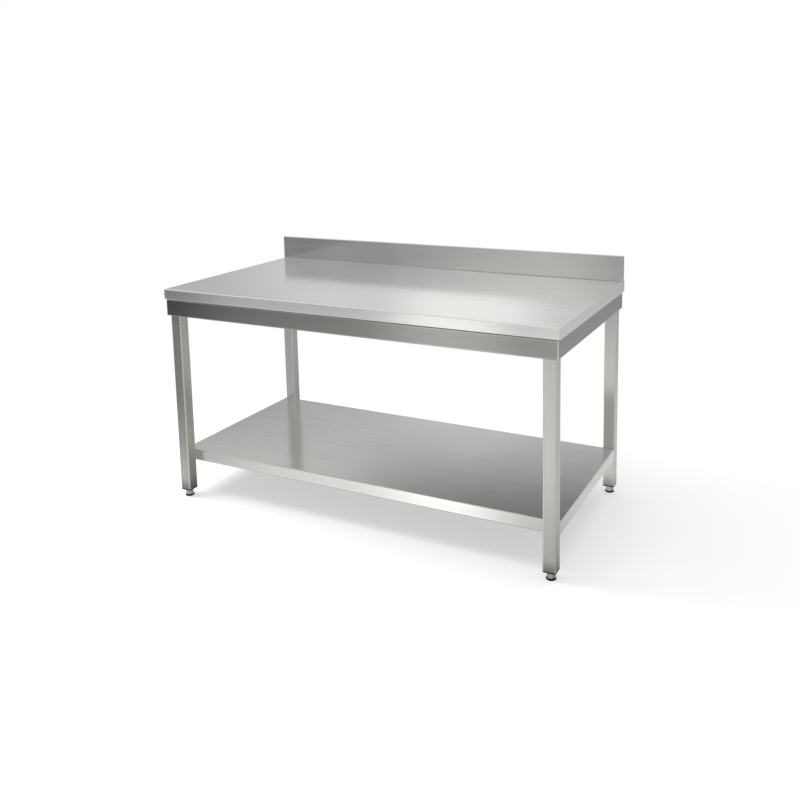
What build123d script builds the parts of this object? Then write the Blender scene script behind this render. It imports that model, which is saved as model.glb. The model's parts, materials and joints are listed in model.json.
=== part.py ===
from build123d import *
import math
import os

# Stainless work table with a rear upstand and an undershelf.
# Millimetres. +Z is up, the front faces -Y, and the origin is on the floor under the table's middle.

os.makedirs("parts", exist_ok=True)

# Overall
LENGTH = 1600.0
DEPTH = 800.0
HEIGHT = 850.0  # floor to worktop face
HALF_X = LENGTH / 2
HALF_Y = DEPTH / 2

# Worktop and upstand
TOP_SHEET = 1.2
TOP_EDGE = 40.0  # height of the turned-down edge
TOP_LIP = 12.0  # inward return under the edge
TOP_BEND = 1.8  # inner bend radius
UPSTAND = 100.0
UPSTAND_BACK = 13.2  # how far the upstand's top folds back
UPSTAND_DROP = 12.0
UPSTAND_ROOT = 3.0  # hollow radius where the upstand meets the worktop
UPSTAND_END = 2.5  # each end stands in from the worktop's side
CORE = 18.0  # core board thickness
CORE_GAP = 3.5  # between the board and the sheet's outer face, all round

# Apron rails, folded channels
RAIL_SHEET = 1.5
RAIL_INSET = 6.0  # behind the worktop's edge
RAIL_TOP = HEIGHT - TOP_EDGE - 2.0
RAIL_HEIGHT = 63.0
RAIL_TOP_FLANGE = 45.0
RAIL_LOW_FLANGE = 20.0
RAIL_BEND = 1.2

# Hat-section stiffeners under the worktop
HAT_SHEET = 1.2
HAT_CROWN = 60.0
HAT_FLANGE = 22.0
HAT_BEND = 1.0
HAT_X = [-500.0, 0.0, 500.0]

# Legs
LEG = 45.0
LEG_WALL = 1.5
LEG_CORNER = 3.5
LEG_INSET = 15.0  # behind the worktop's edge
LEG_X = HALF_X - LEG_INSET - LEG / 2
LEG_Y = HALF_Y - LEG_INSET - LEG / 2

# Leg sockets
SOCKET_PLATE = 4.0
SOCKET_SIDE = 70.0
SPIGOT = 41.4
SPIGOT_WALL = 3.0
SPIGOT_LENGTH = 60.0
SOCKET_TOP = RAIL_TOP - RAIL_SHEET
LEG_TOP = SOCKET_TOP - SOCKET_PLATE

# Feet
PAD_HEIGHT = 5.9
PAD_R = 17.0
HEX_LOW = 6.0
HEX_TOP = 27.6
HEX_FLATS = 27.0
INSERT_LOW = 28.0
INSERT_CAP = 5.0
INSERT_PLUG = 27.0  # how far the plug reaches into the leg
INSERT_WALL = 2.6
INSERT_BOSS_R = 12.0
INSERT_RIB = 2.4
LEG_LOW = INSERT_LOW + INSERT_CAP
STUD_R = 5.0
STUD_ROOT_R = 4.25
STUD_PITCH = 1.5
STUD_TOP = 77.0
STUD_SEAT = HEX_TOP - 12.0
SNAP_R = 5.0
BEAD_R = 5.8
NUT_LOW = 40.0
NUT_HEIGHT = 8.4
NUT_FLATS = 17.0

# Undershelf
SHELF_SHEET = 1.0
SHELF_TOP = 188.0
SHELF_EDGE = 45.0
SHELF_LIP = 12.0
SHELF_BEND = 2.0
SHELF_X = LEG_X + LEG / 2
SHELF_Y = LEG_Y - LEG / 2
SHELF_HAT_HEIGHT = 30.0
SHELF_HAT_CROWN = 80.0
SHELF_HAT_FLANGE = 15.0
SHELF_HAT_HALF = 750.0

# Fasteners: shank radius, hole radius, head or nut flats, head height, nut height
M6 = dict(shank=3.0, hole=3.4, flats=10.0, head=4.0, nut=5.0)
M8 = dict(shank=4.0, hole=4.5, flats=13.0, head=5.3, nut=6.5)
M4_R = 2.0
CORE_SCREW_LENGTH = 14.0
CORE_SCREW_HEAD_R = 4.0
CORE_SCREW_HEAD = 2.2
SOCKET_BOLT_LENGTH = 20.0
HAT_BOLT_LENGTH = 12.0
SHELF_BOLT_LENGTH = 11.0
RIVET_NUT_R = 4.5
RIVET_NUT_LENGTH = 13.0
SET_SCREW_LENGTH = 11.0
SET_SCREW_PROUD = 1.0
SET_SCREW_KEY = 4.0  # hexagon socket across flats
SET_SCREW_KEY_DEPTH = 3.0
SET_SCREW_DROPS = (24.0, 40.0)  # below the leg's top, on its two inner faces
THREAD_GAP = 0.04

CORNERS = {"front_left": (-1, -1), "front_right": (1, -1), "rear_left": (-1, 1), "rear_right": (1, 1)}


def save(shape, name):
    export_step(shape, f"parts/{name}.step")


def block(x0, x1, y0, y1, z0, z1):
    """A plain box from its six limits."""
    middle = ((x0 + x1) / 2, (y0 + y1) / 2, (z0 + z1) / 2)
    return Pos(*middle) * Box(x1 - x0, y1 - y0, z1 - z0)


def rod(x, y, z0, z1, radius):
    """An upright cylinder between two heights."""
    return Pos(x, y, (z0 + z1) / 2) * Cylinder(radius, z1 - z0)


def hexagon(x, y, z0, z1, flats):
    """An upright hexagonal prism, `flats` across its flats."""
    sketch = RegularPolygon(flats / 2, 6, major_radius=False)
    return Pos(x, y, z0) * extrude(sketch, z1 - z0)


def folded_section(path, thickness, bends):
    """Closed section of a bent sheet. The sheet lies on the left of `path`; `bends` are inner radii."""
    points = [Vector(*p) for p in path]
    runs = [(b - a).normalized() for a, b in zip(points, points[1:])]
    normals = [Vector(-run.Y, run.X) for run in runs]
    near, far = [], []
    other = [points[0] + normals[0] * thickness]
    for index in range(1, len(points) - 1):
        before, after = normals[index - 1], normals[index]
        other.append(points[index] + (before + after) * (thickness / (1 + before.dot(after))))
        turns_left = runs[index - 1].cross(runs[index]).Z > 0
        near.append(bends[index - 1] + (thickness if turns_left else 0))
        far.append(bends[index - 1] + (0 if turns_left else thickness))
    other.append(points[-1] + normals[-1] * thickness)
    radii = [0, *near, 0, 0, *reversed(far), 0]
    outline = FilletPolyline(*points, *reversed(other), radius=radii, close=True)
    return make_face(outline.edges())


def along_x(section, half):
    """Runs a (y, z) section from -half to +half along X."""
    return extrude(Plane.YZ * section, half, both=True)


def along_y(section, half):
    """Runs an (x, z) section from -half to +half along Y."""
    return extrude(Plane.XZ * section, half, both=True)


def hat_section(low, high, crown, flange, thickness, bend):
    """Hat with its crown up, centred on zero."""
    half, foot = crown / 2, low + thickness
    path = [(half + flange, foot), (half, foot), (half, high)]
    path += [(-x, z) for x, z in reversed(path)]
    return folded_section(path, thickness, [bend] * 4)


def rounded_block(x0, x1, y0, y1, z0, z1, radius):
    shape = block(x0, x1, y0, y1, z0, z1)
    return fillet(shape.edges(), radius)


def folded_tray(half_x, y0, y1, top, edge, thickness, bend, lip):
    """A sheet folded down all round, with an inward lip along the bottom of every side."""
    low, t = top - edge, thickness
    outside = rounded_block(-half_x, half_x, y0, y1, low, top, bend + t)
    inside = rounded_block(-half_x + t, half_x - t, y0 + t, y1 - t, low + t, top - t, bend)
    mouth = block(-half_x + lip, half_x - lip, y0 + lip, y1 - lip, low - 1, low + 2 * t)
    return outside - inside - mouth


def square_tube(side, wall, corner, z0, z1):
    inner = side - 2 * wall
    ring = RectangleRounded(side, side, corner) - RectangleRounded(inner, inner, corner - wall)
    return Pos(0, 0, z0) * extrude(ring, z1 - z0)


# --- Places of the fasteners -------------------------------------------------------------------

SOCKET_BOLT_FAR = LEG_X - LEG / 2 - 11.0  # beyond the leg, along the rail
SOCKET_BOLT_FAR_Y = LEG_Y - LEG / 2 - 11.0
SOCKET_BOLT_IN = 26.0  # behind the apron's face
RAIL_FACE_X = HALF_X - RAIL_INSET
RAIL_FACE_Y = HALF_Y - RAIL_INSET
HAT_BOLT_IN = 24.0
HAT_BOLT_X = HAT_CROWN / 2 + HAT_FLANGE / 2 + 1.0
CORE_SCREW_Y = [-300.0, -100.0, 100.0, 300.0]
SHELF_BOLT_X = 11.0
SHELF_BOLT_Z = SHELF_TOP - 22.0

socket_bolts_at = [
    (sx * x, sy * y)
    for sx, sy in CORNERS.values()
    for x, y in (
        (SOCKET_BOLT_FAR, RAIL_FACE_Y - SOCKET_BOLT_IN),
        (RAIL_FACE_X - SOCKET_BOLT_IN, SOCKET_BOLT_FAR_Y),
    )
]
hat_bolts_at = [
    (x + side * HAT_BOLT_X, end * (RAIL_FACE_Y - HAT_BOLT_IN))
    for x in HAT_X
    for side in (-1, 1)
    for end in (-1, 1)
]


# --- Worktop -----------------------------------------------------------------------------------


def worktop_sheet():
    """Flat top, edges turned down at the front and sides, upstand turned up at the rear."""
    spare = 40.0
    tray = folded_tray(
        HALF_X, -HALF_Y, HALF_Y + spare, HEIGHT, TOP_EDGE, TOP_SHEET, TOP_BEND, TOP_LIP
    )
    tray -= block(-HALF_X - 1, HALF_X + 1, HALF_Y, HALF_Y + spare + 1, 0, HEIGHT + 1)
    face = HALF_Y - UPSTAND_BACK
    root = face - UPSTAND_ROOT - 2 * TOP_SHEET
    side = HALF_X - UPSTAND_END
    tray -= block(-side, side, root, HALF_Y + 1, HEIGHT - TOP_SHEET - 0.01, HEIGHT + 1)
    tray -= block(-side, side, face, HALF_Y + 1, HEIGHT - TOP_EDGE - 1, HEIGHT - TOP_EDGE + 2)
    peak = HEIGHT + UPSTAND
    path = [(HALF_Y, peak - UPSTAND_DROP), (HALF_Y, peak), (face, peak), (face, HEIGHT), (root, HEIGHT)]
    upstand = along_x(folded_section(path, TOP_SHEET, [1.2, 1.2, UPSTAND_ROOT]), side - TOP_SHEET)
    filler = along_x(Pos(root + 1, HEIGHT - TOP_SHEET / 2) * Rectangle(4, TOP_SHEET), side)
    return tray + (upstand + filler)


def upstand_cap(side):
    """Welded plate that closes the folded upstand's end."""
    outer = HALF_X - UPSTAND_END
    face = HALF_Y - UPSTAND_BACK
    plate = block(outer - TOP_SHEET, outer, face, HALF_Y, HEIGHT, HEIGHT + UPSTAND)
    plate = fillet(plate.edges().filter_by(Axis.X).group_by(Axis.Z)[-1], 2.4)
    return plate if side > 0 else mirror(plate, Plane.YZ)


def rear_closing_strip():
    """Closes the back of the worktop below the upstand."""
    low = HEIGHT - TOP_EDGE
    front = HALF_Y - UPSTAND_BACK + TOP_SHEET + 0.6
    path = [(front, low), (HALF_Y, low), (HALF_Y, HEIGHT), (front, HEIGHT)]
    half = HALF_X - TOP_SHEET - TOP_BEND - 0.1
    return along_x(folded_section(path, TOP_SHEET, [TOP_BEND, 0.6]), half)


def core_board():
    top = HEIGHT - TOP_SHEET
    half_x, half_y = HALF_X - CORE_GAP, HALF_Y - CORE_GAP
    board = block(-half_x, half_x, -half_y, half_y, top - CORE, top)
    for x in HAT_X:
        for y in CORE_SCREW_Y:
            board -= rod(x, y, top - CORE - 1, top - 3, M4_R + THREAD_GAP)
    return board


def top_stiffener(x):
    """Hat rail across the table's depth, under the core board and on the apron's flanges."""
    high = HEIGHT - TOP_SHEET - CORE
    section = hat_section(RAIL_TOP, high, HAT_CROWN, HAT_FLANGE, HAT_SHEET, HAT_BEND)
    rail = Pos(x, 0, 0) * along_y(section, HALF_Y - UPSTAND_BACK - 1.0)
    for y in CORE_SCREW_Y:
        rail -= rod(x, y, high - 3, high + 1, M4_R + 0.3)
    for bx, by in hat_bolts_at:
        if abs(bx - x) < HAT_CROWN:
            rail -= rod(bx, by, RAIL_TOP - 1, RAIL_TOP + 3, M6["hole"])
    return rail


# --- Apron frame -------------------------------------------------------------------------------


def apron_rail(half_length, turn, face):
    """Channel with mitred ends. Its web faces out, `face` from the table's middle."""
    low = RAIL_TOP - RAIL_HEIGHT
    path = [(RAIL_TOP_FLANGE, RAIL_TOP), (0, RAIL_TOP), (0, low), (RAIL_LOW_FLANGE, low)]
    rail = along_x(folded_section(path, RAIL_SHEET, [RAIL_BEND, RAIL_BEND]), half_length)
    reach = RAIL_TOP_FLANGE + 5
    outline = [(-half_length, 0), (half_length, 0)]
    outline += [(half_length - reach, reach), (-half_length + reach, reach)]
    mitre = extrude(make_face(Polyline(*outline, close=True).edges()), HEIGHT)
    rail = Rot(0, 0, turn) * Pos(0, -face, 0) * (rail & mitre)
    gap = LEG / 2 + 1.5
    for sx, sy in CORNERS.values():
        x, y = sx * LEG_X, sy * LEG_Y
        rail -= block(x - gap, x + gap, y - gap, y + gap, low - 1, low + 4)
    for x, y in socket_bolts_at:
        rail -= rod(x, y, RAIL_TOP - 4, RAIL_TOP + 1, M8["hole"])
    for x, y in hat_bolts_at:
        rail -= rod(x, y, RAIL_TOP - 4, RAIL_TOP + 1, M6["hole"])
    return rail


# --- Legs and sockets --------------------------------------------------------------------------


def set_screws_at(sx, sy):
    """Centre lines of a leg's two set screws: (x, y, z, direction towards the table's middle)."""
    return [
        (sx * (LEG_X - LEG / 2), sy * LEG_Y, LEG_TOP - SET_SCREW_DROPS[0], (-sx, 0, 0)),
        (sx * LEG_X, sy * (LEG_Y - LEG / 2), LEG_TOP - SET_SCREW_DROPS[1], (0, -sy, 0)),
    ]


def cross_rod(at, direction, start, end, radius):
    """A cylinder along `direction` from a point, between two distances."""
    plane = Plane(origin=at, z_dir=direction)
    return plane * Pos(0, 0, (start + end) / 2) * Cylinder(radius, end - start)


def leg_socket(sx, sy):
    """Corner plate under the rails with a square spigot that the leg slides over."""
    inner = LEG / 2 + 20.0
    outer = SOCKET_SIDE - inner
    plate = block(-outer, inner, -outer, inner, LEG_TOP, SOCKET_TOP)
    spigot = square_tube(SPIGOT, SPIGOT_WALL, 4.0, LEG_TOP - SPIGOT_LENGTH, LEG_TOP)
    shape = Pos(sx * LEG_X, sy * LEG_Y, 0) * mirrored(plate + spigot, sx, sy)
    for x, y in socket_bolts_at:
        shape -= rod(x, y, LEG_TOP - 1, SOCKET_TOP + 1, M8["hole"])
    for x, y, z, way in set_screws_at(sx, sy):
        shape -= cross_rod((x, y, z), way, -20, 5, M8["shank"] + THREAD_GAP)
    return shape


def mirrored(shape, sx, sy):
    """Turns a front-left piece into the one for the corner (sx, sy)."""
    if sx > 0:
        shape = mirror(shape, Plane.YZ)
    if sy > 0:
        shape = mirror(shape, Plane.XZ)
    return shape


def shelf_bolts_for(sx, sy):
    """Shelf bolts of one leg: points on the leg's inner face and the way the heads point."""
    inward = (0, -sy, 0)
    return [(sx * LEG_X + dx, sy * SHELF_Y, SHELF_BOLT_Z, inward) for dx in (-SHELF_BOLT_X, SHELF_BOLT_X)]


def leg(sx, sy):
    tube = square_tube(LEG, LEG_WALL, LEG_CORNER, LEG_LOW, LEG_TOP)
    tube = Pos(sx * LEG_X, sy * LEG_Y, 0) * tube
    for x, y, z, way in set_screws_at(sx, sy):
        tube -= cross_rod((x, y, z), way, -4, 2, M8["shank"] + THREAD_GAP)
    for x, y, z, way in shelf_bolts_for(sx, sy):
        tube -= cross_rod((x, y, z), way, -4, 2, RIVET_NUT_R + THREAD_GAP)
    return tube


# --- Feet --------------------------------------------------------------------------------------


def leg_insert():
    """Plastic plug in the leg's end: a cap, four walls, and a boss on ribs round a trapped nut."""
    plug = LEG - 2 * LEG_WALL - 0.3
    top = LEG_LOW + INSERT_PLUG
    reach, half_rib = plug / 2 - 1, INSERT_RIB / 2
    cap = Pos(0, 0, INSERT_LOW) * extrude(RectangleRounded(LEG, LEG, LEG_CORNER), INSERT_CAP)
    cap = chamfer(cap.edges().group_by(Axis.Z)[0], 0.8)
    walls = square_tube(plug, INSERT_WALL, 2.8, LEG_LOW, top)
    boss = rod(0, 0, LEG_LOW, top - 2, INSERT_BOSS_R)
    ribs = block(-reach, reach, -half_rib, half_rib, LEG_LOW, top - 4)
    ribs += block(-half_rib, half_rib, -reach, reach, LEG_LOW, top - 4)
    shape = cap + walls + boss + ribs
    shape -= hexagon(0, 0, NUT_LOW, top + 1, NUT_FLATS + 0.1)
    return shape - rod(0, 0, INSERT_LOW - 1, NUT_LOW + 1, STUD_R + 0.6)


def insert_nut():
    nut = hexagon(0, 0, NUT_LOW, NUT_LOW + NUT_HEIGHT, NUT_FLATS)
    return nut - rod(0, 0, NUT_LOW - 1, NUT_LOW + NUT_HEIGHT + 1, STUD_R + 0.06)


def foot_hex():
    """Hexagonal foot with turned corners, a blind seat for the stud and a snap recess for the pad."""
    corner_r = HEX_FLATS / math.sqrt(3)
    blank = rod(0, 0, HEX_LOW, HEX_TOP, corner_r - 0.2)
    blank = chamfer(blank.edges(), 1.3)
    shape = hexagon(0, 0, HEX_LOW, HEX_TOP, HEX_FLATS) & blank
    shape -= rod(0, 0, STUD_SEAT, HEX_TOP + 1, STUD_R + 0.01)
    shape -= rod(0, 0, HEX_LOW - 1, HEX_LOW + 4, SNAP_R + 0.08)
    return shape - rod(0, 0, HEX_LOW + 3.2, HEX_LOW + 6.2, BEAD_R + 0.4)


def foot_stud():
    """Threaded stud, with the thread cut as rings from just above the hexagon."""
    start = HEX_TOP + 0.6
    outline = [(0, STUD_SEAT), (STUD_R, STUD_SEAT), (STUD_R, start)]
    turns = int((STUD_TOP - 1.0 - start) / STUD_PITCH)
    for turn in range(turns):
        low = start + turn * STUD_PITCH
        outline.append((STUD_ROOT_R, low + 0.45 * STUD_PITCH))
        outline.append((STUD_ROOT_R, low + 0.6 * STUD_PITCH))
        outline.append((STUD_R, low + 0.95 * STUD_PITCH))
        outline.append((STUD_R, low + STUD_PITCH))
    outline += [(STUD_ROOT_R, STUD_TOP), (0, STUD_TOP)]
    half = make_face(Polyline(*outline, close=True).edges())
    return revolve(Plane.XZ * half, Axis.Z)


def foot_pad():
    """Moulded pad with a spigot and bead that snap into the hexagon."""
    waist, spigot, bead = PAD_HEIGHT - 2.0, HEX_LOW + 3.4, HEX_LOW + 5.4
    outline = [(0, 0), (PAD_R - 0.8, 0), (PAD_R, 0.8), (PAD_R, waist), (PAD_R - 2, PAD_HEIGHT)]
    outline += [(SNAP_R, PAD_HEIGHT), (SNAP_R, spigot), (BEAD_R, spigot), (BEAD_R - 0.5, bead), (0, bead)]
    half = make_face(Polyline(*outline, close=True).edges())
    return revolve(Plane.XZ * half, Axis.Z)


# --- Undershelf --------------------------------------------------------------------------------


def undershelf_sheet():
    """Tray between the front and rear legs, folded down all round."""
    tray = folded_tray(
        SHELF_X, -SHELF_Y, SHELF_Y, SHELF_TOP, SHELF_EDGE, SHELF_SHEET, SHELF_BEND, SHELF_LIP
    )
    for sx, sy in CORNERS.values():
        for x, y, z, way in shelf_bolts_for(sx, sy):
            tray -= cross_rod((x, y, z), way, -1, 3, M6["hole"])
    return tray


def shelf_stiffener():
    """Hat rail along the table's length, bonded under the shelf."""
    high = SHELF_TOP - SHELF_SHEET
    low = high - SHELF_HAT_HEIGHT
    section = hat_section(low, high, SHELF_HAT_CROWN, SHELF_HAT_FLANGE, SHELF_SHEET, HAT_BEND)
    return along_x(section, SHELF_HAT_HALF)


# --- Fasteners ---------------------------------------------------------------------------------


def bolt_up(x, y, seat, length, size):
    """Hexagon bolt with its head below `seat` and its shank above."""
    head = hexagon(x, y, seat - size["head"], seat, size["flats"])
    return head + rod(x, y, seat, seat + length, size["shank"])


def nut_on(x, y, seat, size):
    nut = hexagon(x, y, seat, seat + size["nut"], size["flats"])
    return nut - rod(x, y, seat - 1, seat + size["nut"] + 1, size["shank"] + THREAD_GAP)


def shelf_bolt(at, way):
    """M6 flange bolt through the shelf's edge, with its head inside the tray."""
    plane = Plane(origin=at, z_dir=way)
    head = hexagon(0, 0, SHELF_SHEET, SHELF_SHEET + M6["head"], M6["flats"])
    shank = rod(0, 0, -SHELF_BOLT_LENGTH, SHELF_SHEET, M6["shank"])
    return plane * (head + shank)


def rivet_nut(at, way):
    plane = Plane(origin=at, z_dir=way)
    thread = rod(0, 0, -RIVET_NUT_LENGTH - 1, 1, M6["shank"] + THREAD_GAP)
    return plane * (rod(0, 0, -RIVET_NUT_LENGTH, 0, RIVET_NUT_R) - thread)


def set_screw(at, way):
    """M8 socket set screw, a little proud of the leg."""
    plane = Plane(origin=at, z_dir=way)
    key = hexagon(0, 0, -SET_SCREW_KEY_DEPTH, SET_SCREW_PROUD + 1, SET_SCREW_KEY)
    return plane * (rod(0, 0, -SET_SCREW_LENGTH, SET_SCREW_PROUD, M8["shank"]) - key)


def core_screw(x, y):
    """Pan-head wood screw up through the stiffener's crown into the core board."""
    seat = HEIGHT - TOP_SHEET - CORE - HAT_SHEET
    head = rod(x, y, seat - CORE_SCREW_HEAD, seat, CORE_SCREW_HEAD_R)
    head = fillet(head.edges().group_by(Axis.Z)[0], CORE_SCREW_HEAD / 2)
    return head + rod(x, y, seat, seat + CORE_SCREW_LENGTH, M4_R)


def group(solids):
    return Compound(children=list(solids))


# --- Writing every node ------------------------------------------------------------------------

save(worktop_sheet(), "worktop_sheet")
save(upstand_cap(-1), "upstand_cap_left")
save(upstand_cap(1), "upstand_cap_right")
save(rear_closing_strip(), "rear_closing_strip")
save(core_board(), "core_board")
for name, x in zip(("left", "middle", "right"), HAT_X):
    save(top_stiffener(x), f"top_stiffener_{name}")

save(apron_rail(RAIL_FACE_X, 0, RAIL_FACE_Y), "apron_front")
save(apron_rail(RAIL_FACE_Y, 90, RAIL_FACE_X), "apron_right")
save(apron_rail(RAIL_FACE_X, 180, RAIL_FACE_Y), "apron_rear")
save(apron_rail(RAIL_FACE_Y, -90, RAIL_FACE_X), "apron_left")

for corner, (sx, sy) in CORNERS.items():
    stand = Pos(sx * LEG_X, sy * LEG_Y, 0)
    save(leg_socket(sx, sy), f"leg_socket_{corner}")
    save(leg(sx, sy), f"leg_{corner}")
    save(stand * leg_insert(), f"leg_insert_{corner}")
    save(stand * insert_nut(), f"insert_nut_{corner}")
    save(stand * foot_hex(), f"foot_hex_{corner}")
    save(stand * foot_stud(), f"foot_stud_{corner}")
    save(stand * foot_pad(), f"foot_pad_{corner}")

save(undershelf_sheet(), "undershelf_sheet")
save(shelf_stiffener(), "shelf_stiffener")

corners = list(CORNERS.values())
shelf_bolts_at = [spot for sx, sy in corners for spot in shelf_bolts_for(sx, sy)]
screws_at = [spot for sx, sy in corners for spot in set_screws_at(sx, sy)]
save(group(shelf_bolt((x, y, z), way) for x, y, z, way in shelf_bolts_at), "shelf_bolts")
save(group(rivet_nut((x, y, z), way) for x, y, z, way in shelf_bolts_at), "shelf_rivet_nuts")
save(group(set_screw((x, y, z), way) for x, y, z, way in screws_at), "leg_set_screws")
save(group(bolt_up(x, y, LEG_TOP, SOCKET_BOLT_LENGTH, M8) for x, y in socket_bolts_at), "socket_bolts")
save(group(nut_on(x, y, RAIL_TOP, M8) for x, y in socket_bolts_at), "socket_nuts")
save(group(bolt_up(x, y, SOCKET_TOP, HAT_BOLT_LENGTH, M6) for x, y in hat_bolts_at), "stiffener_bolts")
save(group(nut_on(x, y, RAIL_TOP + HAT_SHEET, M6) for x, y in hat_bolts_at), "stiffener_nuts")
save(group(core_screw(x, y) for x in HAT_X for y in CORE_SCREW_Y), "core_screws")
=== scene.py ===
import itertools
import json
import math

import bmesh
import bpy
from mathutils import Matrix, Vector


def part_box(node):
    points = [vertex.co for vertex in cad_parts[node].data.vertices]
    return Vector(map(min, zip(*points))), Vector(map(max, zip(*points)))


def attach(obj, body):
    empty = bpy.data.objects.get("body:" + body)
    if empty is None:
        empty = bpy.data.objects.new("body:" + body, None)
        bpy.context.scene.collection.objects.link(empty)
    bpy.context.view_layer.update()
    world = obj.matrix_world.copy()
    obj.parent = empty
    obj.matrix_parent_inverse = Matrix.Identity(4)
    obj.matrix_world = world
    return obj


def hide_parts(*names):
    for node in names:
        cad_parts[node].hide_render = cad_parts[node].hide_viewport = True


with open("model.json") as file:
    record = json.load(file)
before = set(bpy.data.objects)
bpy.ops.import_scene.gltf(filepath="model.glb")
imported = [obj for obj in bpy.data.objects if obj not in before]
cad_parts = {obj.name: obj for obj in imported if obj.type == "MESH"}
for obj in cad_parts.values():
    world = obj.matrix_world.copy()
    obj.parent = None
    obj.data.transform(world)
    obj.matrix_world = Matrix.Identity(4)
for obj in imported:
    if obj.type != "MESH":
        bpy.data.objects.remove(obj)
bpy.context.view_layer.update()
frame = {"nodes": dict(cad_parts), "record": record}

# Stainless work table: the looks. Metres, +Z up, the front faces -Y, the floor is at z = 0.

NODES = frame["nodes"]
SLOT_OF = {part["node"]: part["material_slot"] for part in frame["record"]["subparts"]}
CORNERS = ("front_left", "front_right", "rear_left", "rear_right")
MM = 0.001

# --- Settings: the steel sheets ------------------------------------------------------------------

# As the CAD folds the worktop
TOP_SHEET = 1.2 * MM  # thickness
UPSTAND_BACK = 13.2 * MM  # from the upstand's front face to the table's rear

# Colours are linear RGB
WORKTOP = (0.760, 0.760, 0.748)
# The apron is a darker tone of the same steel as the worktop: painted shade on the rails.
APRON = (0.352, 0.352, 0.340)
LEG = (0.545, 0.541, 0.520)
SHELF = (0.690, 0.690, 0.678)
WORN_AND_HIGHLIT_SHEET = (0.88, 0.88, 0.86)  # polished by wear, and a painted highlight, along the folds

# How the ground grain is stretched: along the grain, across it. The third number is not used.
FINE_GRAIN = (9.0, 2600.0, 1.0)
LINE_GRAIN = (3.0, 560.0, 1.0)
STREAK_GRAIN = (0.7, 70.0, 1.0)

ALONG_AXIS = 0.7  # a face looks along an axis where its normal's share of that axis is over this
ANISOTROPY = 0.35
APRON_CONTRAST = 0.035
FOLD_BRIGHT_REACH = 6.0 * MM  # bright wear and painted highlight spread this far from a fold
FOLD_BRIGHT_SHARE = 0.6  # how much of the worn and highlit colour a sharp fold takes
WEAR_POLISH = 0.05  # worn folds are this much less rough
FLOOR_SHADE_LOW = 38.0 * MM  # painted shade near the floor is darkest up to this height
FLOOR_SHADE_HIGH = 105.0 * MM  # and ends at this height
FLOOR_SHADE_WANDER = 30.0 * MM  # how far its edge moves up and down
FLOOR_SHADE_TONE = 0.25  # share of the clean colour
CORNER_SHADE_REACH = 4.0 * MM  # painted shade reaches this far out of a corner
CORNER_SHADE_SHARE = 0.9  # how much of the painted shade's colour a corner takes
CORNER_SHADE_TONE = 0.06  # share of the clean colour
UPSTAND_SHADE_REACH = 8.0 * MM  # height over which the painted shade above the worktop's face starts
UPSTAND_SHADE_SHARE = 0.25
UPSTAND_SHADE_TONE = 0.2  # share of the clean colour

# --- Settings: the other finishes ----------------------------------------------------------------

STIFFENER = (0.56, 0.56, 0.54)
SOCKET = (0.50, 0.50, 0.49)
WORN_MILL = (0.84, 0.84, 0.82)
FOOT = (0.46, 0.46, 0.45)
WORN_TURNED = (0.90, 0.90, 0.88)
ZINC = (0.62, 0.62, 0.60)
WORN_ZINC = (0.88, 0.88, 0.86)
NYLON = (0.005, 0.005, 0.005)
NYLON_DUST = (0.014, 0.014, 0.013)
NYLON_SCUFF = (0.02, 0.02, 0.02)
CHIP_DARK = (0.30, 0.19, 0.10)
CHIP_PALE = (0.66, 0.50, 0.32)
CHIP_FIBRE = (0.22, 0.14, 0.08)
CHIP_GLUE = (0.14, 0.09, 0.05)
MELAMINE_LOW = (0.56, 0.56, 0.55)
MELAMINE_HIGH = (0.64, 0.64, 0.63)

EDGE_BREAK = {"fasteners": 0.35 * MM, "foot_steel": 0.5 * MM, "black_plastic": 0.4 * MM}
EDGE_BREAK_ANGLE = math.radians(40.0)  # sharper edges than this are broken

# --- Settings: the threaded studs ----------------------------------------------------------------

STUD_R = 5.0 * MM
STUD_PLAIN = 12.6 * MM  # the part without a thread, in the hexagon
STUD_CHAMFER = 0.6 * MM
THREAD_ROOT = 4.25 * MM
THREAD_PITCH = 1.5 * MM
THREAD_RUN_IN = 0.2 * MM  # from the plain part to the thread
THREAD_STEPS = 32  # points round one turn
PROFILE = ((0.0, 1.0), (0.12, 1.0), (0.50, 0.0), (0.62, 0.0))  # share of the pitch, share of the depth

# --- Settings: the studio ------------------------------------------------------------------------

FLOOR_HALF = 30.0
FLOOR_NEAR = 0.6  # the lit paper reaches this far, and is plain white beyond FLOOR_FAR
FLOOR_FAR = 2.1
FLOOR_GLOW = 0.50  # share of the near floor's white that its own glow gives, as on a lit table
PAPER_LOW = (0.83, 0.83, 0.82)
PAPER_HIGH = (0.86, 0.86, 0.85)
SURROUND_RADIUS = FLOOR_HALF * 1.6
PURE_WHITE = (1.0, 1.0, 1.0)

ROOM_TINT = (1.0, 0.998, 0.985)
ROOM_LEAST = 0.02  # the mirrored room is nowhere darker than this
# Height above the horizon in degrees, and the room's brightness there
STUDIO_TONES = (
    (-90.0, 0.28),
    (-40.0, 0.32),
    (-30.0, 0.46),
    (-24.0, 0.66),
    (-14.0, 0.60),
    (-9.0, 0.34),
    (0.0, 0.46),
    (9.0, 0.56),
    (12.0, 0.58),
    (17.0, 0.50),
    (22.0, 0.84),
    (27.0, 0.66),
    (32.0, 0.50),
    (50.0, 0.75),
    (90.0, 1.20),
)
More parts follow.
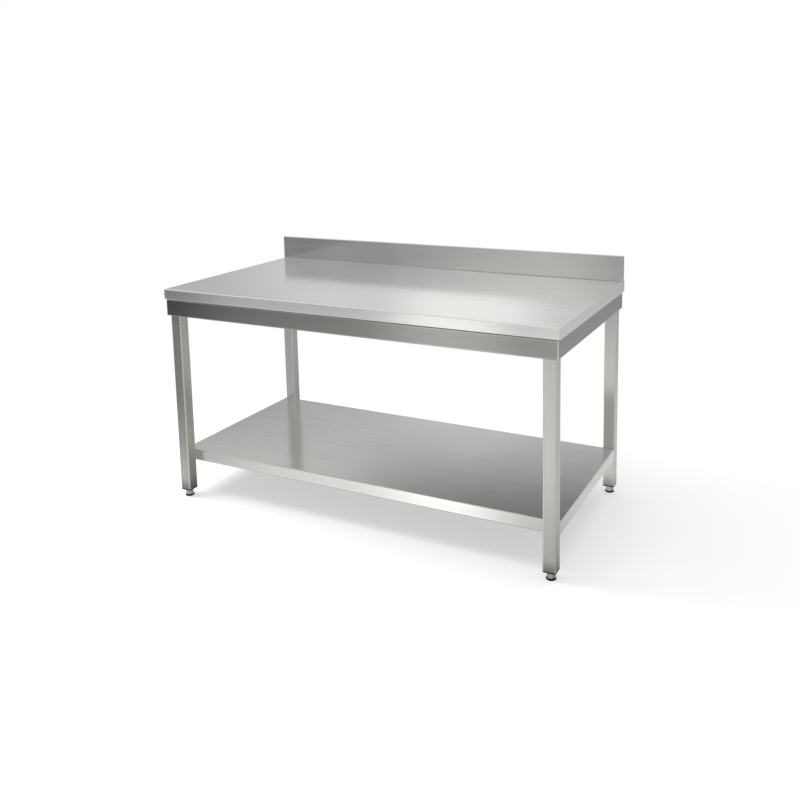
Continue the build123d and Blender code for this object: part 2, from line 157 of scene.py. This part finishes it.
# Heading, half width, softness, height, half height, softness, strength. Heading 0 is +Y, 90 is -X.
# Angles are in degrees. Softboxes add light and black cards take it away.
STUDIO_PANELS = (
    # in front, below the horizon: seen in the front faces
    (154.5, 1.5, 4.0, -16.0, 7.0, 5.0, 0.70),
    (155.0, 1.5, 3.5, -26.0, 3.0, 4.0, 0.42),
    (166.0, 2.5, 4.0, -20.0, 4.5, 3.0, 0.50),
    (133.5, 3.5, 2.5, -14.0, 3.0, 4.0, -0.42),
    (135.0, 3.0, 5.0, -21.0, 3.0, 4.0, -0.20),
    (137.0, 16.0, 7.0, -28.0, 4.0, 4.0, 0.50),
    (146.0, 5.0, 9.0, -6.5, 2.5, 3.5, -0.26),
    # in front, above the horizon: seen in the upstand, by way of the worktop
    (140.0, 9.0, 13.0, 9.0, 2.0, 4.0, -0.62),
    (145.0, 26.0, 20.0, 9.0, 2.0, 4.0, -0.40),
    (169.0, 2.0, 4.0, 8.0, 3.0, 4.0, -0.20),
    (158.0, 4.0, 7.0, 14.0, 3.0, 5.0, 0.66),
    # behind, above the horizon: seen in the worktop and the shelf
    (24.0, 1.5, 5.5, 12.0, 5.0, 5.0, 0.34),
    (47.0, 4.0, 10.0, 11.0, 5.0, 6.0, -0.27),
    (43.0, 6.0, 9.0, 18.0, 2.0, 3.0, -0.18),
    (20.0, 7.0, 10.0, 31.0, 5.0, 4.0, -0.80),
    # behind and to the right, below the horizon: seen in the right side
    (-15.0, 5.0, 6.0, -22.0, 3.0, 4.0, 0.16),
    (-42.0, 14.0, 10.0, -25.0, 4.0, 5.0, -0.34),
)
# Name, place, target, side of the square (metres), power (watts)
SOFTBOXES = (
    ("key_softbox", (-2.0, -0.6, 3.0), (0.1, 0.1, 0.0), 1.8, 120.0),
    ("top_softbox", (0.0, 0.0, 4.6), (0.0, 0.0, 0.0), 6.0, 130.0),
)

CAMERA_PLACE = (1.60809, -2.88791, 1.50997)
CAMERA_TURN = 0.4649  # radians, to the left of +Y
CAMERA_DOWN = 0.1458  # radians
CAMERA_ROLL = -0.0169  # radians
CAMERA_LENS = 39.0  # millimetres, as the sensor
CAMERA_SENSOR = 36.0
CAMERA_SHIFT = (-0.0375, -0.2)  # shares of the frame's width
CAMERA_REACH = 200.0  # metres, past the white surround

# --- Helpers -------------------------------------------------------------------------------------


class Graph:
    """Short calls for building a shader node tree."""

    def __init__(self, tree):
        self.tree = tree
        self.tree.nodes.clear()

    def add(self, kind, inputs=None, **settings):
        node = self.tree.nodes.new("ShaderNode" + kind)
        for key, value in settings.items():
            setattr(node, key, value)
        for key, value in (inputs or {}).items():
            self.feed(node.inputs[key], value)
        return node

    def feed(self, socket, value):
        if isinstance(value, bpy.types.NodeSocket):
            self.tree.links.new(value, socket)
        else:
            socket.default_value = value

    def math(self, operation, *values, clamp=False):
        node = self.add("Math", operation=operation, use_clamp=clamp)
        for socket, value in zip(node.inputs, values):
            self.feed(socket, value)
        return node.outputs[0]

    def vector(self, operation, *values):
        node = self.add("VectorMath", operation=operation)
        for socket, value in zip(node.inputs, values):
            self.feed(socket, value)
        return node.outputs["Value" if operation in ("DOT_PRODUCT", "LENGTH") else "Vector"]

    def split(self, vector):
        return self.add("SeparateXYZ", {"Vector": vector}).outputs

    def join(self, x, y, z):
        return self.add("CombineXYZ", {"X": x, "Y": y, "Z": z}).outputs[0]

    def scaled(self, vector, factors):
        return self.vector("MULTIPLY", vector, factors)

    def place(self):
        return self.add("TexCoord").outputs["Object"]

    def normal(self):
        return self.add("NewGeometry").outputs["True Normal"]

    def noise(self, vector, scale=1.0, detail=2.0, roughness=0.5):
        inputs = {"Vector": vector, "Scale": scale, "Detail": detail, "Roughness": roughness}
        return self.add("TexNoise", inputs).outputs["Fac"]

    def spread(self, value, low, high, to_low=0.0, to_high=1.0, kind="SMOOTHSTEP"):
        inputs = {"Value": value, "From Min": low, "From Max": high, "To Min": to_low, "To Max": to_high}
        return self.add("MapRange", inputs, interpolation_type=kind, clamp=True).outputs["Result"]

    def distance(self, value, target):
        return self.math("ABSOLUTE", self.math("SUBTRACT", value, target))

    def weighted(self, *pairs):
        """The sum of (value, weight) pairs."""
        total = None
        for value, weight in pairs:
            part = self.math("MULTIPLY", value, weight)
            total = part if total is None else self.math("ADD", total, part)
        return total

    def varied(self, base, noise, amount):
        """`base`, moved up and down by a noise that is 0.5 on average."""
        return self.math("MULTIPLY_ADD", self.math("SUBTRACT", noise, 0.5), amount, base)

    def mix(self, factor, a, b):
        """Colour mix: a at 0, b at 1."""
        node = self.add("Mix", data_type="RGBA")
        self.feed(node.inputs["Factor"], factor)
        self.feed(node.inputs[6], a)
        self.feed(node.inputs[7], b)
        return node.outputs[2]

    def worn_and_highlit(self, colour, edge, share, bright):
        """The colour with its edges painted `bright`: wear, and on the sheet folds also a painted highlight.
        """
        return self.mix(self.math("MULTIPLY", edge, share), colour, tone(bright))

    def bump(self, height, strength, distance):
        inputs = {"Strength": strength, "Distance": distance, "Height": height}
        return self.add("Bump", inputs).outputs[0]

    def edge_wear(self, radius, strength=2.2):
        """0 on a face, up to 1 along its sharp edges."""
        rounded = self.add("Bevel", {"Radius": radius}, samples=6).outputs["Normal"]
        turned = self.math("SUBTRACT", 1.0, self.vector("DOT_PRODUCT", rounded, self.normal()))
        return self.math("MULTIPLY", turned, strength, clamp=True)

    def fold_wear_and_highlight(self, place, planes, reach):
        """0 on a face, up to 1 along a fold: near two planes of different axes, with X and Y as absolute."""
        parts = self.split(place)
        near = []
        for axis, value in planes:
            part = parts[axis] if axis == 2 else self.math("ABSOLUTE", parts[axis])
            near.append((axis, self.spread(self.distance(part, value), 0.0, reach, 1.0, 0.0)))
        wear = 0.0
        for first, second in itertools.combinations(near, 2):
            if first[0] != second[0]:
                wear = self.math("MAXIMUM", wear, self.math("MULTIPLY", first[1], second[1]))
        return wear

    def principled(self, **inputs):
        """A Principled shader on the output. An input's spaces are written as underscores."""
        named = {key.replace("_", " "): value for key, value in inputs.items()}
        self.surface(self.add("BsdfPrincipled", named), "OutputMaterial")

    def surface(self, shader, output):
        self.tree.links.new(shader.outputs[0], self.add(output).inputs["Surface"])


def new_material(name):
    material = bpy.data.materials.new(name)
    material.use_nodes = True
    return material, Graph(material.node_tree)


def new_object(name, data):
    made = bpy.data.objects.new(name, data)
    bpy.context.scene.collection.objects.link(made)
    return made


def tone(rgb, factor=1.0):
    return (rgb[0] * factor, rgb[1] * factor, rgb[2] * factor, 1.0)


# --- Steel ---------------------------------------------------------------------------------------


def along_length(graph, x, y, z, side):
    """Grain along X, carried over the folded edges: on a face that looks along X it runs up."""
    flat = graph.math("SUBTRACT", 1.0, side)
    across = graph.math("ADD", y, graph.math("MULTIPLY", z, flat))
    along = graph.math("ADD", x, graph.math("MULTIPLY", z, side))
    return along, across, graph.join(flat, 0.0, side)


def along_depth(graph, x, y, z, side):
    """Grain along Y."""
    return y, graph.math("ADD", x, z), graph.join(0.0, 1.0, 0.0)


def along_height(graph, x, y, z, side):
    """Grain along Z."""
    return z, graph.math("ADD", x, y), graph.join(0.0, 0.0, 1.0)


def brushed_steel(
    name, rgb, grain, folds, roughness, contrast=0.05, floor_shade=0.0, scatter=0.0, shaded_corners=(), shaded_above=None
):
    """Satin sheet: fine grain, broader streaks, faint rub marks, and smoother folds made brighter by wear and
    a painted highlight.

    `grain` says which way the grain runs. `folds` are the planes that meet in the sheet's folds.
    `floor_shade` paints shade over the lowest few centimetres. `scatter` is the share of light that the
    ground surface scatters evenly. `shaded_corners` lists the corners that get a painted shade line, each as
    the planes that meet there.
    Above `shaded_above` the sheet gets painted shade and is darker.
    """
    material, graph = new_material(name)
    place = graph.place()
    x, y, z = graph.split(place)
    normal = graph.normal()
    side = graph.math("GREATER_THAN", graph.math("ABSOLUTE", graph.split(normal)[0]), ALONG_AXIS)
    along, across, direction = grain(graph, x, y, z, side)
    sheet = graph.join(along, across, 0.0)
    fine = graph.noise(graph.scaled(sheet, FINE_GRAIN), detail=2.0)
    line = graph.noise(graph.scaled(sheet, LINE_GRAIN), detail=3.0, roughness=0.65)
    streak = graph.noise(graph.scaled(sheet, STREAK_GRAIN), detail=3.0, roughness=0.6)
    rub = graph.noise(place, scale=4.5, detail=3.0, roughness=0.6)

    shade = graph.weighted((line, 0.30), (streak, 0.50), (rub, 0.20))
    colour = graph.mix(graph.spread(shade, 0.32, 0.68), tone(rgb, 1.0 - contrast), tone(rgb, 1.0 + contrast))
    # Painted shade: the lowest few centimetres are darkened, with a wandering edge, for the shade near the
    # floor.
    if floor_shade:
        shaded_height = graph.math("ADD", z, graph.math("MULTIPLY", rub, FLOOR_SHADE_WANDER))
        low = graph.spread(shaded_height, FLOOR_SHADE_LOW, FLOOR_SHADE_HIGH, floor_shade, 0.0)
        colour = graph.mix(low, colour, tone(rgb, FLOOR_SHADE_TONE))
    # Painted shade: above the worktop's face the upstand is darker.
    if shaded_above:
        upstand_shade = graph.spread(z, shaded_above, shaded_above + UPSTAND_SHADE_REACH, 0.0, UPSTAND_SHADE_SHARE)
        colour = graph.mix(upstand_shade, colour, tone(rgb, UPSTAND_SHADE_TONE))
    # Brighter folds: wear, and a painted highlight along them.
    edge = graph.fold_wear_and_highlight(place, folds, FOLD_BRIGHT_REACH)
    colour = graph.worn_and_highlit(colour, edge, FOLD_BRIGHT_SHARE, WORN_AND_HIGHLIT_SHEET)
    # Painted shade: a dark line in each listed corner, such as under the worktop's edge.
    for planes in shaded_corners:
        corner_shade = CORNER_SHADE_SHARE
        for axis, value in planes:
            off = graph.distance((x, y, z)[axis], value)
            corner_shade = graph.math("MULTIPLY", corner_shade, graph.spread(off, 0.0, CORNER_SHADE_REACH, 1.0, 0.0))
        colour = graph.mix(corner_shade, colour, tone(rgb, CORNER_SHADE_TONE))

    rough = graph.varied(roughness, line, 0.06)
    rough = graph.varied(rough, rub, 0.08)
    rough = graph.math("SUBTRACT", rough, graph.math("MULTIPLY", edge, WEAR_POLISH))
    relief = graph.math("ADD", graph.math("MULTIPLY", fine, 0.3), line)
    graph.principled(
        Base_Color=colour,
        Metallic=1.0 - scatter,
        Roughness=rough,
        Anisotropic=ANISOTROPY,
        Tangent=graph.vector("CROSS_PRODUCT", normal, direction),
        Normal=graph.bump(relief, 0.12, 0.01 * MM),
    )
    return material


def mill_steel(name, rgb, roughness=0.36):
    """Unpolished sheet: cloudy mill finish with faint roll lines."""
    material, graph = new_material(name)
    place = graph.place()
    cloud = graph.noise(place, scale=42.0, detail=5.0, roughness=0.65)
    rolled = graph.noise(graph.scaled(place, (6.0, 900.0, 60.0)), detail=3.0, roughness=0.6)
    grit = graph.noise(place, scale=1900.0, detail=2.0)
    shade = graph.weighted((cloud, 0.6), (rolled, 0.4))
    colour = graph.mix(graph.spread(shade, 0.35, 0.65), tone(rgb, 0.86), tone(rgb, 1.10))
    graph.principled(
        Base_Color=graph.worn_and_highlit(colour, graph.edge_wear(0.8 * MM), 0.5, WORN_MILL),
        Metallic=1.0,
        Roughness=graph.varied(roughness, shade, 0.30),
        Normal=graph.bump(grit, 0.3, 0.03 * MM),
    )
    return material


def turned_steel(name, rgb, roughness=0.22):
    """Machined and polished: rings of fine tool marks, worn bright on the corners."""
    material, graph = new_material(name)
    place = graph.place()
    rings = graph.noise(graph.scaled(place, (60.0, 60.0, 3200.0)), detail=2.0)
    stain = graph.noise(place, scale=160.0, detail=4.0, roughness=0.6)
    colour = graph.mix(graph.spread(stain, 0.35, 0.7), tone(rgb, 0.84), tone(rgb, 1.08))
    graph.principled(
        Base_Color=graph.worn_and_highlit(colour, graph.edge_wear(0.9 * MM), 0.7, WORN_TURNED),
        Metallic=1.0,
        Roughness=graph.varied(roughness, stain, 0.22),
        Anisotropic=ANISOTROPY,
        Normal=graph.bump(rings, 0.35, 0.02 * MM),
        Tangent=graph.add("Tangent", direction_type="RADIAL", axis="Z").outputs[0],
    )
    return material


def zinc_bright(name, rgb):
    """Plated fasteners: slightly mottled, and bright on the corners."""
    material, graph = new_material(name)
    place = graph.place()
    mottle = graph.noise(place, scale=420.0, detail=4.0, roughness=0.6)
    grit = graph.noise(place, scale=2600.0, detail=2.0)
    colour = graph.mix(graph.spread(mottle, 0.3, 0.7), tone(rgb, 0.78), tone(rgb, 1.10))
    graph.principled(
        Base_Color=graph.worn_and_highlit(colour, graph.edge_wear(0.5 * MM), 0.8, WORN_ZINC),
        Metallic=1.0,
        Roughness=graph.spread(mottle, 0.3, 0.7, 0.24, 0.42),
        Normal=graph.bump(grit, 0.4, 0.03 * MM),
    )
    return material


# --- Plastic and board ---------------------------------------------------------------------------


def moulded_plastic(name, rgb):
    """Black nylon: spark-eroded grain, patches of dust, paler where it has been scuffed."""
    material, graph = new_material(name)
    place = graph.place()
    grain = graph.noise(place, scale=1500.0, detail=3.0, roughness=0.6)
    dust = graph.noise(place, scale=90.0, detail=4.0, roughness=0.6)
    colour = graph.mix(graph.spread(dust, 0.50, 0.80), tone(rgb), tone(NYLON_DUST))
    graph.principled(
        Base_Color=graph.worn_and_highlit(colour, graph.edge_wear(0.7 * MM), 0.4, NYLON_SCUFF),
        Roughness=graph.spread(grain, 0.3, 0.7, 0.50, 0.70),
        Normal=graph.bump(grain, 0.45, 0.06 * MM),
        Specular_IOR_Level=0.15,
    )
    return material


def chipboard(name):
    """Chips of many tones with darker glue between them at the cut edges, pale grey melamine on the faces."""
    material, graph = new_material(name)
    place = graph.place()
    bent = graph.add("TexNoise", {"Vector": place, "Scale": 60.0, "Detail": 2.0}).outputs["Color"]
    warped = graph.vector("ADD", place, graph.scaled(bent, (0.006, 0.006, 0.006)))
    flat = graph.scaled(warped, (150.0, 300.0, 520.0))
    chips = graph.add("TexVoronoi", {"Vector": flat, "Scale": 1.0}, feature="F1")
    glue = graph.add("TexVoronoi", {"Vector": flat, "Scale": 1.0}, feature="DISTANCE_TO_EDGE")
    inside = glue.outputs["Distance"]
    tint = graph.split(chips.outputs["Color"])[0]
    chip = graph.mix(tint, tone(CHIP_DARK), tone(CHIP_PALE))
    fibre = graph.noise(graph.scaled(place, (260.0, 2400.0, 2400.0)), detail=3.0)
    chip = graph.mix(graph.math("MULTIPLY", fibre, 0.35), chip, tone(CHIP_FIBRE))
    cut_edge = graph.mix(graph.spread(inside, 0.0, 0.10), tone(CHIP_GLUE), chip)

    up = graph.split(graph.normal())[2]
    facing = graph.math("GREATER_THAN", graph.math("ABSOLUTE", up), ALONG_AXIS)
    pearl = graph.noise(place, scale=700.0, detail=3.0, roughness=0.6)
    melamine = graph.mix(graph.spread(pearl, 0.3, 0.7), tone(MELAMINE_LOW), tone(MELAMINE_HIGH))
    cut = graph.math("SUBTRACT", 1.0, facing)
    relief = graph.math("MULTIPLY", inside, cut)
    relief = graph.math("ADD", relief, graph.math("MULTIPLY", pearl, 0.1))
    graph.principled(
        Base_Color=graph.mix(facing, cut_edge, melamine),
        Roughness=graph.math("MULTIPLY_ADD", graph.spread(tint, 0.0, 1.0, 0.17, 0.40), cut, 0.45),
        Normal=graph.bump(relief, 0.4, 0.15 * MM),
    )
    return material


# --- Materials on the CAD nodes ------------------------------------------------------------------


def planes_of(node, axes="xyz"):
    """The planes of a node's box, as (axis, place), with X and Y as distances from the middle."""
    low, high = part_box(node)
    found = []
    for axis in ("xyz".index(letter) for letter in axes):
        limits = (low[axis], high[axis])
        found += [(axis, value if axis == 2 else abs(value)) for value in limits]
    return sorted({(axis, round(value, 5)) for axis, value in found})


def make_finishes():
    """One material for each slot, and the side rails' own, whose grain runs along Y."""
    edge_low, rear_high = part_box("worktop_sheet")
    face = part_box("core_board")[1].z + TOP_SHEET
    upstand_corner = ((1, rear_high.y - UPSTAND_BACK), (2, face))
    under_edge = ((2, edge_low.z),)
    top_folds = planes_of("worktop_sheet", "xy") + [(2, edge_low.z), (2, face)]
    rail_folds = planes_of("apron_front", "z") + planes_of("apron_front", "x") + planes_of("apron_right", "y")
    leg_folds = planes_of("leg_front_right", "xy")
    shelf_folds = planes_of("undershelf_sheet")
    finishes = {
        "worktop_steel": brushed_steel(
            "worktop_steel",
            WORKTOP,
            along_length,
            top_folds,
            roughness=0.13,
            scatter=0.18,
            shaded_corners=(upstand_corner,),
            shaded_above=face,
        ),
        "apron_steel": brushed_steel(
            "apron_steel_long",
            APRON,
            along_length,
            rail_folds,
            roughness=0.17,
            contrast=APRON_CONTRAST,
            shaded_corners=(under_edge,),
        ),
        "leg_steel": brushed_steel(
            "leg_steel", LEG, along_height, leg_folds, roughness=0.18, floor_shade=0.8, scatter=0.06
        ),
        "shelf_steel": brushed_steel(
            "shelf_steel", SHELF, along_length, shelf_folds, roughness=0.16, scatter=0.06
        ),
        "stiffener_steel": mill_steel("stiffener_steel", STIFFENER),
        "socket_steel": mill_steel("socket_steel", SOCKET, roughness=0.40),
        "foot_steel": turned_steel("foot_steel", FOOT),
        "fasteners": zinc_bright("fasteners", ZINC),
        "black_plastic": moulded_plastic("black_plastic", NYLON),
        "core_board": chipboard("core_board"),
    }
    side_rail = brushed_steel(
        "apron_steel_side",
        APRON,
        along_depth,
        rail_folds,
        roughness=0.27,
        contrast=APRON_CONTRAST,
        shaded_corners=(under_edge,),
    )
    return finishes, side_rail


def dress(piece, material):
    """Gives a piece one material, in its object's own slot."""
    if not piece.material_slots:
        piece.data.materials.append(material)
    for slot in piece.material_slots:
        slot.link = "OBJECT"
        slot.material = material


def break_edges(piece, width):
    """A small rounded bevel on sharp edges, which stays inside the shape."""
    bevel = piece.modifiers.new("edge_break", "BEVEL")
    bevel.width = width
    bevel.segments = 2
    bevel.limit_method = "ANGLE"
    bevel.angle_limit = EDGE_BREAK_ANGLE
    bevel.use_clamp_overlap = True
    bevel.harden_normals = False


FINISHES, SIDE_RAIL_FINISH = make_finishes()
for node_name, node in NODES.items():
    slot_name = SLOT_OF[node_name]
    side_rail = node_name in ("apron_left", "apron_right")
    dress(node, SIDE_RAIL_FINISH if side_rail else FINISHES[slot_name])
    if slot_name in EDGE_BREAK:
        break_edges(node, EDGE_BREAK[slot_name])

# --- Threaded studs ------------------------------------------------------------------------------


def stud_rings(low, high):
    """The stud's rings from the bottom up: each one's radius and its heights round one turn."""
    plain_top = low + STUD_PLAIN
    start = plain_top + THREAD_RUN_IN
    stop = high - STUD_CHAMFER
    shares = [step / THREAD_STEPS for step in range(THREAD_STEPS)]

    def level(height, radius):
        return radius, [height] * THREAD_STEPS

    def climbing(turns, depth):
        """A ring that climbs one pitch, and stays between the plain part and the chamfer."""
        heights = [start + (turns + share - 1.0) * THREAD_PITCH for share in shares]
        radius = THREAD_ROOT + (STUD_R - THREAD_ROOT) * depth
        return radius, [min(max(height, plain_top), stop) for height in heights]

    rings = [level(low, STUD_R), level(plain_top, STUD_R)]
    for turn in range(int((stop - start) / THREAD_PITCH) + 1):
        rings += [climbing(turn + share, depth) for share, depth in PROFILE]
    rings += [level(stop, THREAD_ROOT), level(high, THREAD_ROOT - STUD_CHAMFER)]
    return rings


def helical_stud(name, like):
    """A stud with a real single-start thread, as long as the CAD stud and on its axis."""
    low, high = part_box(like)
    middle = (low + high) / 2
    bm = bmesh.new()
    rings = []
    for radius, heights in stud_rings(low.z, high.z):
        points = []
        for step, height in enumerate(heights):
            angle = step / THREAD_STEPS * math.tau
            x = middle.x + radius * math.cos(angle)
            y = middle.y + radius * math.sin(angle)
            points.append(bm.verts.new((x, y, height)))
        rings.append(points)
    for below, above in zip(rings, rings[1:]):
        for step in range(THREAD_STEPS):
            after = (step + 1) % THREAD_STEPS
            bm.faces.new((below[step], below[after], above[after], above[step]))
    bm.faces.new(list(reversed(rings[0])))
    bm.faces.new(rings[-1])
    bmesh.ops.remove_doubles(bm, verts=bm.verts, dist=1e-6)
    bmesh.ops.recalc_face_normals(bm, faces=bm.faces)
    mesh = bpy.data.meshes.new(name)
    bm.to_mesh(mesh)
    bm.free()
    return new_object(name, mesh)


for corner in CORNERS:
    stud = helical_stud(f"threaded_stud_{corner}", f"foot_stud_{corner}")
    dress(stud, FINISHES["foot_steel"])
    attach(stud, f"foot_{corner}")
    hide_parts(f"foot_stud_{corner}")

# --- Studio --------------------------------------------------------------------------------------


def white_glow(graph):
    return graph.add("Emission", {"Color": tone(PURE_WHITE), "Strength": 1.0})


def pale_floor():
    """Lit paper under the table that turns into plain white further out."""
    material, graph = new_material("pale_floor")
    place = graph.place()
    cloud = graph.noise(place, scale=1.4, detail=3.0)
    colour = graph.mix(cloud, tone(PAPER_LOW), tone(PAPER_HIGH))
    inputs = {"Base Color": colour, "Roughness": 0.8, "Specular IOR Level": 0.1}
    paper = graph.add("BsdfPrincipled", inputs)
    glow = white_glow(graph)
    far = graph.spread(graph.vector("LENGTH", place), FLOOR_NEAR, FLOOR_FAR, FLOOR_GLOW, 1.0)
    blend = graph.add("MixShader", {0: far, 1: paper.outputs[0], 2: glow.outputs[0]})
    graph.surface(blend, "OutputMaterial")
    mesh = bpy.data.meshes.new("studio_floor")
    ends = ((-1.0, -1.0), (1.0, -1.0), (1.0, 1.0), (-1.0, 1.0))
    mesh.from_pydata([(x * FLOOR_HALF, y * FLOOR_HALF, 0.0) for x, y in ends], [], [(0, 1, 2, 3)])
    floor = new_object("studio_floor", mesh)
    floor.data.materials.append(material)
    floor.visible_glossy = False


def white_surround():
    """A plain white ball far outside the table, seen only by the camera."""
    material, graph = new_material("white_surround")
    graph.surface(white_glow(graph), "OutputMaterial")
    mesh = bpy.data.meshes.new("studio_surround")
    bm = bmesh.new()
    bmesh.ops.create_uvsphere(bm, u_segments=48, v_segments=24, radius=SURROUND_RADIUS)
    bm.to_mesh(mesh)
    bm.free()
    surround = new_object("studio_surround", mesh)
    surround.data.materials.append(material)
    surround.visible_diffuse = False
    surround.visible_glossy = False
    surround.visible_transmission = False
    surround.visible_volume_scatter = False
    surround.visible_shadow = False


def studio_world():
    """Soft studio: a grey room with pale panels and black cards, which the steel mirrors."""
    world = bpy.data.worlds.new("studio")
    bpy.context.scene.world = world
    world.use_nodes = True
    graph = Graph(world.node_tree)
    way = graph.vector("NORMALIZE", graph.add("TexCoord").outputs["Generated"])
    to_degrees = 180.0 / math.pi
    height = graph.math("MULTIPLY", graph.math("ARCSINE", graph.split(way)[2]), to_degrees)

    def bearing(toward):
        """Degrees round from a heading, -180 to 180. Heading 0 is +Y and 90 is -X."""
        turn = math.radians(toward)
        ahead = graph.vector("DOT_PRODUCT", way, (-math.sin(turn), math.cos(turn), 0.0))
        aside = graph.vector("DOT_PRODUCT", way, (-math.cos(turn), -math.sin(turn), 0.0))
        return graph.math("MULTIPLY", graph.math("ARCTAN2", aside, ahead), to_degrees)

    def band(value, middle, half, soft):
        """1 within `half` of the middle, falling to 0 over `soft`."""
        return graph.spread(graph.distance(value, middle), half, half + soft, 1.0, 0.0)

    def panel(toward, half, soft, middle, half_height, soft_height, strength):
        across = band(bearing(toward), 0.0, half, soft)
        up = band(height, middle, half_height, soft_height)
        return graph.math("MULTIPLY", graph.math("MULTIPLY", across, up), strength)

    ramp = graph.add("ValToRGB")
    ramp.color_ramp.interpolation = "EASE"
    while len(ramp.color_ramp.elements) < len(STUDIO_TONES):
        ramp.color_ramp.elements.new(0.5)
    for element, (angle, level) in zip(ramp.color_ramp.elements, STUDIO_TONES):
        element.position = (angle + 90.0) / 180.0
        element.color = (level, level, level, 1.0)
    graph.feed(ramp.inputs[0], graph.spread(height, -90.0, 90.0, kind="LINEAR"))
    total = graph.split(ramp.outputs[0])[0]
    for settings in STUDIO_PANELS:
        total = graph.math("ADD", total, panel(*settings))
    total = graph.math("MAXIMUM", total, ROOM_LEAST)
    graph.surface(graph.add("Background", {"Color": tone(ROOM_TINT), "Strength": total}), "OutputWorld")


def softbox(name, place, target, side, power):
    """A square area light that only lights: neither the camera nor a reflection shows it."""
    light = bpy.data.lights.new(name, "AREA")
    light.shape = "RECTANGLE"
    light.size = side
    light.size_y = side
    light.energy = power
    lamp = new_object(name, light)
    lamp.location = place
    lamp.rotation_euler = (Vector(target) - Vector(place)).to_track_quat("-Z", "Y").to_euler()
    lamp.visible_camera = False
    lamp.visible_glossy = False


def camera():
    """Standing height, front right of the table, looking slightly down."""
    turn, down, roll = CAMERA_TURN, CAMERA_DOWN, CAMERA_ROLL
    ahead = Vector((-math.sin(turn) * math.cos(down), math.cos(turn) * math.cos(down), -math.sin(down)))
    right = Vector((math.cos(turn), math.sin(turn), 0.0))
    up = right.cross(ahead)
    rolled_right = math.cos(roll) * right + math.sin(roll) * up
    rolled_up = -math.sin(roll) * right + math.cos(roll) * up
    axes = Matrix((rolled_right, rolled_up, -ahead)).transposed()
    lens = bpy.data.cameras.new("camera")
    lens.sensor_width = CAMERA_SENSOR
    lens.lens = CAMERA_LENS
    lens.shift_x, lens.shift_y = CAMERA_SHIFT
    lens.clip_end = CAMERA_REACH
    stand = new_object("camera", lens)
    stand.matrix_world = Matrix.Translation(Vector(CAMERA_PLACE)) @ axes.to_4x4()
    bpy.context.scene.camera = stand


pale_floor()
white_surround()
studio_world()
for settings in SOFTBOXES:
    softbox(*settings)
camera()
bpy.context.scene.view_settings.view_transform = "Standard"
bpy.context.scene.view_settings.look = "None"
